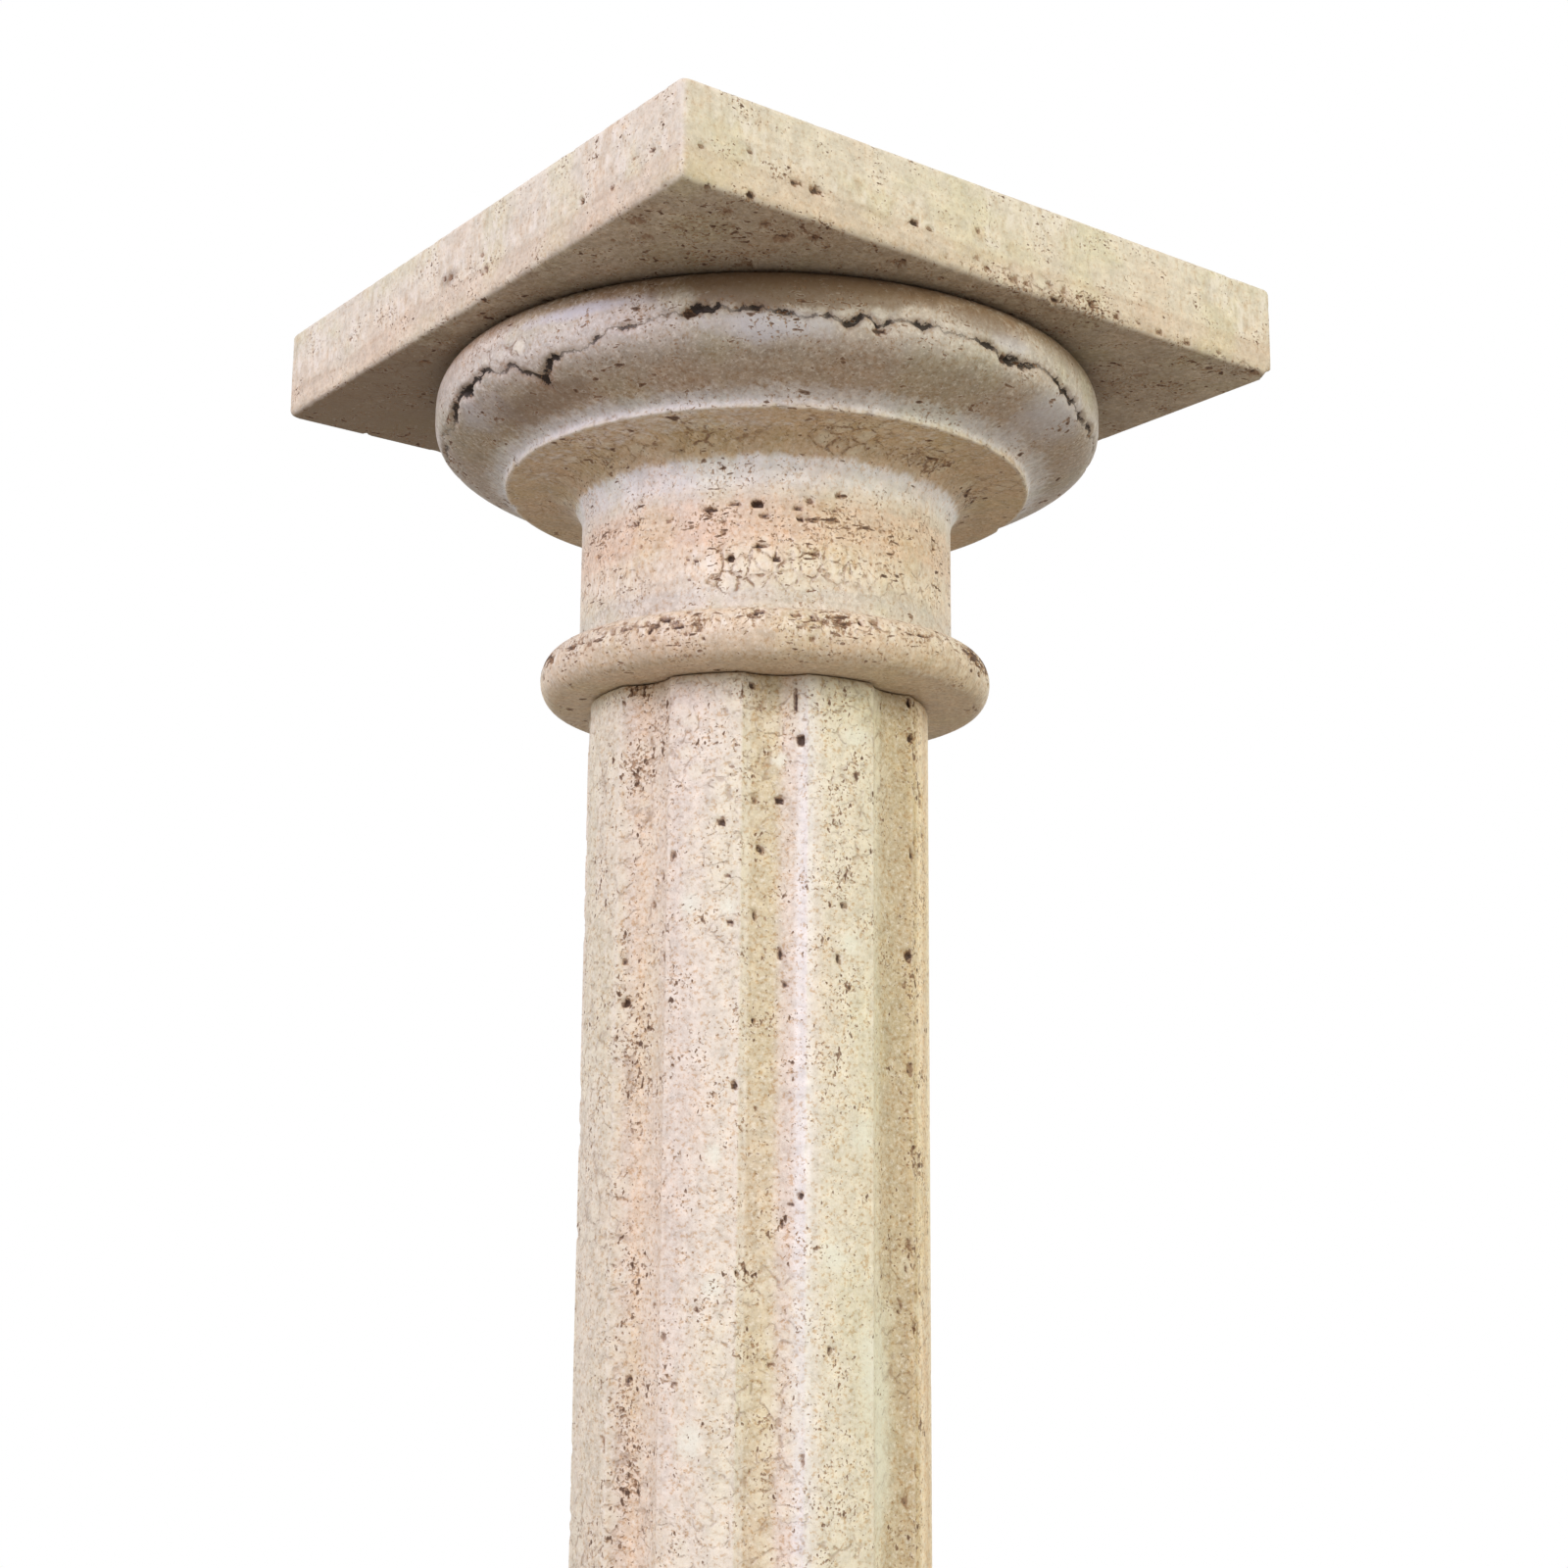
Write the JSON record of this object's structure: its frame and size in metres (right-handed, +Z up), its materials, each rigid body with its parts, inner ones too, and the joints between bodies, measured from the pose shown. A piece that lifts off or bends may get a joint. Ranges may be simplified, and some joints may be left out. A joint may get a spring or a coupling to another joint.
{
  "type": "doric column",
  "caption": "Small free-standing doric column in pale travertine: square abacus, turned capital with ringed neck, fluted shaft, torus base and square plinth, made to display things on.",
  "frame": {"origin": "centre of the plinth's underside, on the surface that the column stands on", "axes": "+Z up along the column's axis; the sides of the plinth and the abacus lie along X and Y"},
  "size_m": [0.3, 0.3, 1.2],
  "materials": {
    "abacus_stone": "honed, open pores, level beds",
    "capital_stone": "honed, open pores, level beds, long fissure round the echinus",
    "shaft_stone": "honed, open pores, upright beds",
    "base_stone": "honed, open pores, level beds",
    "plinth_stone": "honed, open pores, level beds"
  },
  "bodies": {
    "root": {"plinth": "plinth_stone", "base": "base_stone", "shaft": "shaft_stone", "capital": "capital_stone", "abacus": "abacus_stone"}
  },
  "joints": []
}
